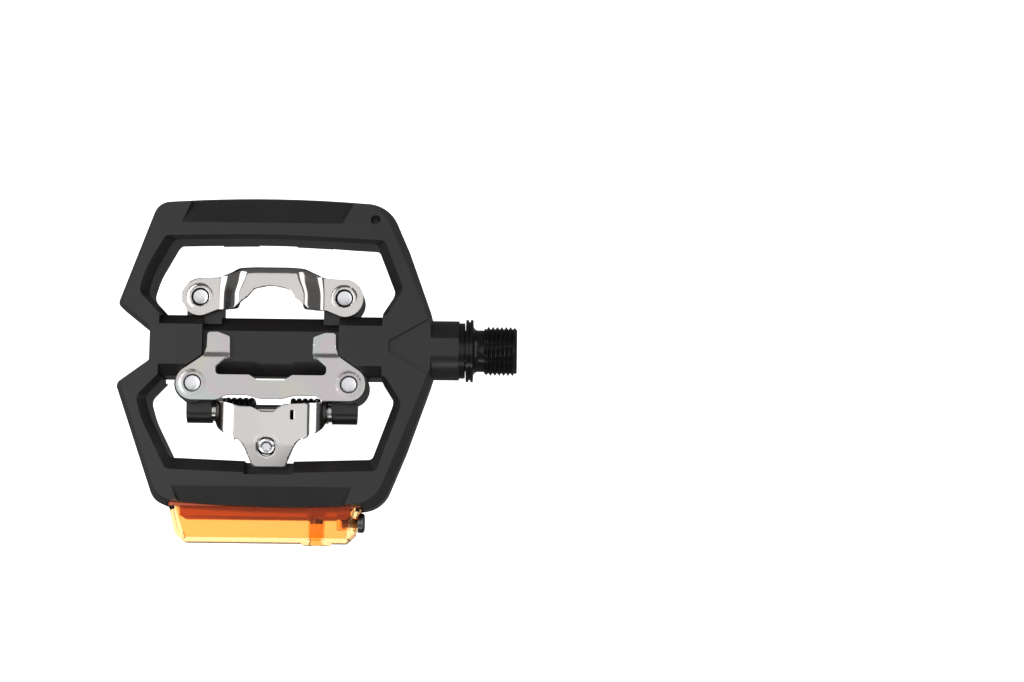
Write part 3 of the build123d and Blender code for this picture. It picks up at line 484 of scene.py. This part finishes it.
for node, finish in CAD_FINISH.items():
    obj = frame["nodes"][node]
    paint(obj, finish)
    obj.data.shade_smooth()
    obj.data.set_sharp_from_angle(angle=math.radians(28))
    if node in EDGE_WIDTH:
        edge = obj.modifiers.new("edge", "BEVEL")
        edge.width = EDGE_WIDTH[node] * MM
        edge.segments = 3
        edge.limit_method = "ANGLE"
        edge.angle_limit = math.radians(22)
        edge.harden_normals = True

# ---------------------------------------------------------------- axle

thread_end = top("axle").x
flange_r = top("axle").y
THREAD_R = 7.1
THREAD_DEPTH = 0.72
THREAD_START = 3.2
axle_place = axis_frame((0, 0, 0), (1, 0, 0), (0, 1, 0))
axle_rows = [
    (thread_end - 8.0, 0),
    (thread_end - 8.0, hexagon(8.0)),
    (thread_end - 0.3, hexagon(8.0)),
    (thread_end, hexagon(8.6)),
    (thread_end, THREAD_R - THREAD_DEPTH - 0.2),
    (thread_end - 0.15, THREAD_R - THREAD_DEPTH),
]
axle_rows += thread_rows(thread_end - 0.2, THREAD_START, THREAD_R, THREAD_DEPTH, AXLE_PITCH, -1)
axle_rows += [
    (THREAD_START - 0.1, 6.05),
    (1.2, 6.05),
    (0.5, 6.35),
    (0.0, 7.2),
    (0.0, flange_r - 0.15),
    (-0.1, flange_r),
    (-0.75, flange_r),
    (-0.85, flange_r - 0.6),
    (-1.25, flange_r - 0.6),
    (-1.35, flange_r),
    (-1.98, flange_r),
    (-2.1, flange_r - 0.15),
    (-2.1, 5.9),
    (-14.2, 5.9),
    (-14.2, 5.0),
    (-35.6, 5.0),
    (-35.6, 4.2),
    (-80.0, 4.2),
    (-80.0, 3.0),
    (-84.4, 2.9),
    (-88.9, 2.9),
    (-89.4, 2.4),
    (-89.4, 0),
]
axle = joined("axle_threaded", [turned(axle_rows, axle_place, 96)])
paint(axle, oxide)
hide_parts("axle")
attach(axle, "axle")

# ---------------------------------------------------------------- front claw

FRONT_EYE = Vector((20.7, 13.85))
EYE_HOLE_R = 2.6
COIN_IN = 3.2
COIN_OUT = 3.9
COIN_RISE = 0.15


def eye_loops(eye, radius):
    return [circle(side * eye.x, eye.y, radius, 64) for side in (-1, 1)]


def coined(x, y):
    """The raised ring round a screw hole."""
    return COIN_RISE * smooth_step((COIN_OUT - math.hypot(x, y)) / (COIN_OUT - COIN_IN))


HOOK_TOP = top("front_claw").z
FLANK_FOOT = 15.3  # half widths of the raised hook, where its flanks meet the ears and the lip
FLANK_HEAD_REAR = 9.0
FLANK_HEAD_FRONT = 6.8
FLANK_BEND = 0.3  # share of the flank's width that each of its two bends takes
WALL_ROUND = 2.3  # radius of the bend from the lip into the front wall
WALL_FOOT = 6.3  # height of the front wall's lower edge
WALL_STEP = 0.3  # width in plan of the wall's upright part
front_half = [
    (4.5, 22.45, 3.0),
    (9.6, 22.2, 4.0),
    (15.0, 19.6, 4.0),
    (20.2, 19.25, 1.0),
    (26.1, 19.25, 5.3),
    (26.1, 8.5, 5.3),
    (20.0, 8.5, 5.0),
    (15.6, 10.3, 1.5),
    (10.9, 10.2, 0.8),
    (7.7, 12.9, 0.5),
    (6.7, 13.6, 0.5),
    (4.9, 15.9, 2.5),
    (0.9, 16.75, 3.0),
]
front_outline = rounded_outline(both_halves(front_half))
front_edge = np.array([p for p in front_outline if abs(p[0]) < FLANK_FOOT + 2 and p[1] > 18.0])
front_edge = front_edge[np.argsort(front_edge[:, 0])]


def front_distance(x, y):
    """How far a point is from the claw's front edge."""
    start, way = front_edge[:-1], front_edge[1:] - front_edge[:-1]
    along = np.clip(((np.array((x, y)) - start) * way).sum(1) / (way ** 2).sum(1), 0, 1)
    near = start + way * along[:, None]
    return float(np.sqrt(((near - np.array((x, y))) ** 2).sum(1)).min())


def front_band(depth):
    """A loop that follows the front edge at a depth behind it, and comes back across the lip."""
    way = np.gradient(front_edge, axis=0)
    way /= np.linalg.norm(way, axis=1)[:, None]
    line = front_edge + depth * np.stack([way[:, 1], -way[:, 0]], axis=1)
    line = [p for p in line if abs(p[0]) < FLANK_FOOT]
    count = int((line[-1][0] - line[0][0]) / 0.25)
    back = [line[-1] + (line[0] - line[-1]) * k / count for k in range(1, count)]
    return line + back


def rounded_ramp(share, bend):
    """A straight ramp from 0 to 1 with a smooth bend at each end."""
    share = max(0.0, min(1.0, share))
    if share < bend:
        return share * share / (2 * bend * (1 - bend))
    if share > 1 - bend:
        return 1 - (1 - share) ** 2 / (2 * bend * (1 - bend))
    return (share - bend / 2) / (1 - bend)


def front_surface(x, y):
    """The pressed hook: flat ears, sloping flanks, a flat lip, and a front edge that is turned down."""
    ahead = smooth_step((y - 14.0) / 6.5)
    head = FLANK_HEAD_REAR + (FLANK_HEAD_FRONT - FLANK_HEAD_REAR) * ahead
    raised = rounded_ramp((FLANK_FOOT - abs(x)) / (FLANK_FOOT - head), FLANK_BEND)
    depth = front_distance(x, y)
    inner = max(0.0, 1 - depth / WALL_ROUND)
    turned_down = WALL_ROUND * (1 - math.sqrt(1 - inner * inner))
    height = PLATE_TOP + (HOOK_TOP - PLATE_TOP) * raised - turned_down * raised
    height -= (height - WALL_FOOT) * raised * max(0.0, 1 - depth / WALL_STEP)
    return (MID + x, y, height + coined(abs(x) - FRONT_EYE.x, y - FRONT_EYE.y))


front_claw = sheet_mesh(
    "front_claw_pressed",
    front_outline,
    eye_loops(FRONT_EYE, EYE_HOLE_R),
    front_surface,
    1.8,
    0.4,
    creases=[front_band(WALL_STEP), *eye_loops(FRONT_EYE, COIN_IN), *eye_loops(FRONT_EYE, COIN_OUT)],
)
paint(front_claw, chrome)
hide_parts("front_claw")
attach(front_claw, "platform")

# ---------------------------------------------------------------- rear plate

REAR_EYE = Vector((22.4, -11.05))
plate_half = [
    (15.5, 3.8, 2.0),
    (18.4, 3.7, 0.8),
    (18.5, -0.6, 2.0),
    (19.4, -3.1, 2.0),
    (27.1, -8.4, 4.6),
    (27.1, -15.8, 4.6),
    (15.5, -15.8, 3.0),
    (12.6, -14.3, 1.0),
    (7.0, -14.3, 2.0),
    (3.2, -15.3, 2.0),
]
plate_inner = [
    (3.8, -10.05, 0.6),
    (6.2, -8.55, 0.6),
    (15.9, -8.55, 1.2),
    (15.9, -6.0, 1.0),
    (11.9, -2.6, 1.0),
    (12.0, 2.5, 0.8),
]
FOLD_Y = -3.4


def plate_surface(x, y):
    height = PLATE_TOP - 0.05
    height -= 0.35 * smooth_step((y - FOLD_Y) / 1.2)
    return (MID + x, y, height + coined(abs(x) - REAR_EYE.x, y - REAR_EYE.y))


rear_plate = sheet_mesh(
    "rear_plate_pressed",
    rounded_outline(both_halves(plate_inner + plate_half)),
    eye_loops(REAR_EYE, EYE_HOLE_R),
    plate_surface,
    1.75,
    0.5,
    creases=eye_loops(REAR_EYE, COIN_IN) + eye_loops(REAR_EYE, COIN_OUT),
)
paint(rear_plate, zinc)
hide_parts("rear_plate")
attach(rear_plate, "platform")

# ---------------------------------------------------------------- rear claw

CLAW_HALF = 16.2
CLAW_FLAT = 9.4
BEND_R = CLAW_HALF - CLAW_FLAT
BEND_LONG = BEND_R * math.pi / 2
TONGUE_DROP = math.radians(15.0)
FOLD_START_Y = -24.2  # the tongue's fold is this gentle curve, and its middle is the CAD's fold line
FOLD_LONG = 4.4
CLAW_LEVEL = 9.0
ear_s = CLAW_FLAT + BEND_LONG + (CLAW_LEVEL - BEND_R) - PIVOT.z
claw_right = [
    (0.9, -19.1, 1.5),
    (3.6, -17.1, 1.5),
    (8.0, -16.7, 3.0),
    (13.0, -16.5, 3.0),
    (18.5, -15.6, 3.0),
    (ear_s - 1.0, -14.4, 3.4),
    (ear_s + 3.6, -14.4, 3.6),
    (ear_s + 3.6, -21.6, 3.6),
    (ear_s - 2.5, -21.6, 1.0),
    (18.5, -21.4, 2.0),
    (16.1, -23.6, 3.0),
    (13.8, -25.0, 3.0),
    (11.1, -26.4, 4.0),
    (8.6, -27.3, 2.5),
    (7.3, -29.0, 3.0),
    (5.0, -34.2, 0.8),
    (4.6, -34.9, 0.6),
]
claw_left = [(-x, y, r) for x, y, r in reversed(claw_right[4:])] + [
    (-13.0, -16.5, 3.0),
    (-8.6, -17.6, 3.0),
    (-5.5, -17.7, 1.5),
    (-2.6, -19.1, 1.5),
]


def claw_surface(x, y):
    """The flat blank bent down at both sides, with its tongue sloping to the rear."""
    side = 1 if x > 0 else -1
    reach = abs(x)
    height = CLAW_LEVEL
    if reach > CLAW_FLAT + BEND_LONG:
        height = CLAW_LEVEL - BEND_R - (reach - CLAW_FLAT - BEND_LONG)
        reach = CLAW_HALF
    elif reach > CLAW_FLAT:
        angle = (reach - CLAW_FLAT) / BEND_R
        height = CLAW_LEVEL - BEND_R * (1 - math.cos(angle))
        reach = CLAW_FLAT + BEND_R * math.sin(angle)
    far = FOLD_START_Y - y
    if far > 0 and abs(x) < CLAW_FLAT:
        bent = min(far, FOLD_LONG)
        height -= math.tan(TONGUE_DROP) * (bent * bent / 2 / FOLD_LONG + far - bent)
    return (MID + side * reach, y, height)


screw_spot = (TENSION_TOP.x - MID, TENSION_TOP.y + 0.1)
slit = rounded_outline([(5.9, -18.6, 0.3), (7.0, -18.6, 0.3), (7.0, -21.4, 0.3), (5.9, -21.4, 0.3)])
claw_holes = [
    circle(-ear_s, PIVOT.y, 1.85),
    circle(ear_s, PIVOT.y, 1.85),
    circle(*screw_spot, 2.75),
    slit,
]
rear_claw = sheet_mesh(
    "rear_claw_pressed", rounded_outline(claw_left + claw_right), claw_holes, claw_surface, 1.7, 0.5
)
paint(rear_claw, chrome)
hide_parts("rear_claw")
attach(rear_claw, "claw")

screw_place = axis_frame(TENSION_TOP, TENSION_AXIS)
cup = joined(
    "tension_cup",
    [
        turned(
            [(-2.8, 1.85), (-2.8, 3.6), (-1.6, 3.65), (-1.5, 3.4), (-1.5, 1.85), (-2.8, 1.85)],
            screw_place,
        )
    ],
)
paint(cup, chrome)
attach(cup, "claw")

# Two plain white arcs beside the screw, lying on the sloping tongue: a painted highlight, the glint round the
# screw's ring
HIGHLIGHT_IN, HIGHLIGHT_OUT = 3.75, 4.15
HIGHLIGHT_PROUD = 0.03
HIGHLIGHT_ARCS = [(25, 65), (115, 155)]  # degrees from +X
tongue_far = FOLD_START_Y - FOLD_LONG - TENSION_TOP.y
tongue_z = CLAW_LEVEL - math.tan(TONGUE_DROP) * (FOLD_LONG / 2 + tongue_far)
tongue_place = axis_frame(
    (TENSION_TOP.x, TENSION_TOP.y, tongue_z + HIGHLIGHT_PROUD), (0, -math.sin(TONGUE_DROP), math.cos(TONGUE_DROP))
)


def painted_highlight_arc(start, end, steps=16):
    """A thin flat band between two radii, standing a little off the sheet, that carries a painted highlight.
    """
    places, faces = [], []
    for level in (0.0, -2 * HIGHLIGHT_PROUD):
        for reach in (HIGHLIGHT_IN, HIGHLIGHT_OUT):
            for k in range(steps + 1):
                angle = math.radians(start + (end - start) * k / steps)
                highlight_point = Vector((reach * math.cos(angle), reach * math.sin(angle), level))
                places.append(tongue_place @ highlight_point)
    row = steps + 1
    for k in range(steps):
        faces.append((k, row + k, row + k + 1, k + 1))
        faces.append((2 * row + k, 2 * row + k + 1, 3 * row + k + 1, 3 * row + k))
        faces.append((k, k + 1, 2 * row + k + 1, 2 * row + k))
        faces.append((row + k, 3 * row + k, 3 * row + k + 1, row + k + 1))
    for k in (0, steps):
        faces.append((k, 2 * row + k, 3 * row + k, row + k))
    return places, faces


# the white arcs are a painted highlight round the tension screw
painted_highlight_arcs = joined("tension_painted_highlights", [painted_highlight_arc(start, end) for start, end in HIGHLIGHT_ARCS])
paint(painted_highlight_arcs, painted_highlight_white)
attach(painted_highlight_arcs, "claw")

# ---------------------------------------------------------------- screws, pins and springs

TENSION_LENGTH = 17.5
tension_rows = [
    (-0.55, 0),
    (-0.55, hexagon(2.2)),
    (-0.1, hexagon(2.3)),
    (0.0, hexagon(2.6)),
    (0.0, 2.1),
    (-0.25, 2.45),
    (-1.2, 2.5),
    (-1.4, 2.4),
    (-1.4, 1.7),
    (-4.0, 1.7),
]
tension_rows += thread_rows(-4.2, -13.0, 1.75, 0.3, 0.6, 1, 0.4, 6)
tension_rows += [
    (-13.2, 1.3),
    (-15.2, 1.3),
    (-15.6, 1.7),
    (-TENSION_LENGTH + 0.3, 1.7),
    (-TENSION_LENGTH, 1.4),
    (-TENSION_LENGTH, 0),
]
tension_screw = joined("tension_screw_turned", [turned(tension_rows, screw_place)])
paint(tension_screw, bright_zinc)
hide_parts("tension_screw")
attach(tension_screw, "screw")

HEAD_R = 3.6
HEAD_TOP = 2.2
boss_foot = bottom("front_claw_screws").z + HEAD_TOP
screw_long = PLATE_TOP - 0.3 - boss_foot
torx_rows = [
    (HEAD_TOP - 1.5, 0),
    (HEAD_TOP - 1.5, six_lobes(1.5)),
    (HEAD_TOP - 0.15, six_lobes(1.75)),
    (HEAD_TOP, six_lobes(1.95)),
    (HEAD_TOP, 2.6),
    (HEAD_TOP - 0.25, HEAD_R - 0.45),
    (HEAD_TOP - 0.75, HEAD_R),
    (0.0, HEAD_R),
    (0.0, 2.25),
    (0.5 - screw_long, 2.25),
    (-screw_long, 2.05),
    (0.06 - screw_long, 1.75),
    (0.06 - screw_long, 0),
]


def claw_screws(name, node, eye):
    shapes = []
    for side in (-1, 1):
        place = axis_frame((MID + side * eye.x, eye.y, boss_foot), (0, 0, -1))
        shapes.append(turned(torx_rows, place))
    screws = joined(name, shapes)
    paint(screws, bright_zinc)
    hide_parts(node)
    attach(screws, "platform")


claw_screws("front_screws_turned", "front_claw_screws", FRONT_EYE)
claw_screws("rear_screws_turned", "rear_plate_screws", REAR_EYE)

def solid_middles(node, reach):
    """The middles in plan of a CAD node's separate solids, each smaller than reach."""
    groups = []
    for vertex in frame["nodes"][node].data.vertices:
        place = vertex.co / MM
        for group in groups:
            if (place.xy - group[0].xy).length < reach:
                group.append(place)
                break
        else:
            groups.append([place])
    middles = []
    for group in groups:
        xs, ys = [p.x for p in group], [p.y for p in group]
        middles.append(((min(xs) + max(xs)) / 2, (min(ys) + max(ys)) / 2))
    return middles


pin_top = -bottom("traction_pins").z
pin_foot = pin_top - 1.8
pin_rows = [
    (pin_top - 1.5, 0),
    (pin_top - 1.5, hexagon(1.9)),
    (pin_top - 0.2, hexagon(2.0)),
    (pin_top, hexagon(2.4)),
    (pin_top, 1.65),
    (pin_top - 0.45, 2.12),
    (pin_foot + 0.1, 2.15),
    (pin_foot - 0.1, 1.9),
    (pin_foot - 0.1, 1.6),
    (pin_foot - 5.5, 1.6),
    (pin_foot - 5.5, 0),
]
pins = joined(
    "traction_pins_turned",
    [turned(pin_rows, axis_frame((x, y, 0), (0, 0, -1)), 48) for x, y in solid_middles("traction_pins", 5.0)],
)
paint(pins, nickel)
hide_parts("traction_pins")
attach(pins, "platform")

WIRE_R = 0.88
COIL_R = 2.9
COILS = 5
SPRING_NEAR = 4.7
SPRING_FAR = 13.2


def spring(name, node, side):
    """A helical torsion spring round the pivot pin.

    Its inner leg presses on the nut plate, its outer on the platform.
    """
    path = []
    steps = COILS * 40
    for i in range(steps + 1):
        share = i / steps
        angle = 2 * math.pi * COILS * share + math.pi * 0.5
        x = MID + side * (SPRING_NEAR + (SPRING_FAR - SPRING_NEAR) * share)
        path.append((x, PIVOT.y + COIL_R * math.cos(angle), PIVOT.z + COIL_R * math.sin(angle)))
    first = path[0]
    leg = [(first[0], first[1] - d, first[2] + 0.1 * d) for d in (3.2, 2.4, 1.6, 0.8)]
    last = path[-1]
    tail = [(last[0], last[1] + d, last[2] + 0.02 * d) for d in (0.8, 1.6, 2.4, 3.2)]
    wire = joined(name, [tube_along(leg + path + tail, WIRE_R)], sharp=60)
    paint(wire, gloss_black)
    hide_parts(node)
    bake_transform(wire)


spring("spring_left_coiled", "spring_left", -1)
spring("spring_right_coiled", "spring_right", 1)

# ---------------------------------------------------------------- stage, light and camera


def area_light(name, place, target, size, power, color=(1, 1, 1)):
    light = bpy.data.lights.new(name, "AREA")
    light.shape = "RECTANGLE"
    light.size, light.size_y = size
    light.energy = power
    light.color = color
    obj = bpy.data.objects.new(name, light)
    bpy.context.scene.collection.objects.link(obj)
    obj.location = place
    obj.rotation_euler = (Vector(target) - Vector(place)).to_track_quat("-Z", "Y").to_euler()
    return obj


bpy.context.scene.view_settings.view_transform = "Standard"
FLOOR_Z = -0.07
floor_mesh = bpy.data.meshes.new("floor")
FLOOR_HALF = 4
floor_corners = [
    (x * FLOOR_HALF, y * FLOOR_HALF, FLOOR_Z) for x, y in ((-1, -1), (1, -1), (1, 1), (-1, 1))
]
floor_mesh.from_pydata(floor_corners, [], [(0, 1, 2, 3)])
floor = bpy.data.objects.new("floor", floor_mesh)
bpy.context.scene.collection.objects.link(floor)
white, _, _, shader = new_material("white_floor", (0.9, 0.9, 0.9), 0.0, 0.9, Specular_IOR_Level=0.0)
shader.inputs["Emission Color"].default_value = (1, 1, 1, 1)
shader.inputs["Emission Strength"].default_value = 0.95
floor.data.materials.append(white)
floor.visible_glossy = False

world = bpy.data.worlds.new("studio")
bpy.context.scene.world = world
world.use_nodes = True
world.node_tree.nodes["Background"].inputs["Color"].default_value = (0.12, 0.12, 0.12, 1)

middle = Vector((MID, 0, 0)) * MM
area_light("left_box", (-0.62, 0.05, 0.52), middle, (1.1, 0.75), 5.4)
area_light("right_box", (0.50, 0.05, 0.50), middle, (1.1, 0.45), 2.4)
area_light("rear_box", (-0.05, -0.60, 0.32), middle, (0.5, 0.12), 0.5)
area_light("overhead", (-0.12, -0.05, 0.95), middle, (0.62, 0.8), 1.3)

CAMERA_TARGET = Vector((11.2, 3.1, 0.0)) * MM
CAMERA_DISTANCE = 0.72
CAMERA_TILT = math.radians(7.5)
CAMERA_ROLL = math.radians(0.67)
SENSOR = 36.0
WIDTH_SEEN = 0.297
camera_data = bpy.data.cameras.new("camera")
camera_data.sensor_width = SENSOR
camera_data.lens = SENSOR * CAMERA_DISTANCE / WIDTH_SEEN
camera_data.clip_start, camera_data.clip_end = 0.05, 20.0
camera = bpy.data.objects.new("camera", camera_data)
bpy.context.scene.collection.objects.link(camera)
back = Vector((0, -math.sin(CAMERA_TILT), math.cos(CAMERA_TILT)))
up = Vector((-math.sin(CAMERA_ROLL), math.cos(CAMERA_ROLL), 0))
right = up.cross(back).normalized()
up = back.cross(right)
turn = Matrix((right, up, back)).transposed().to_4x4()
camera.matrix_world = Matrix.Translation(CAMERA_TARGET + back * CAMERA_DISTANCE) @ turn
bpy.context.scene.camera = camera
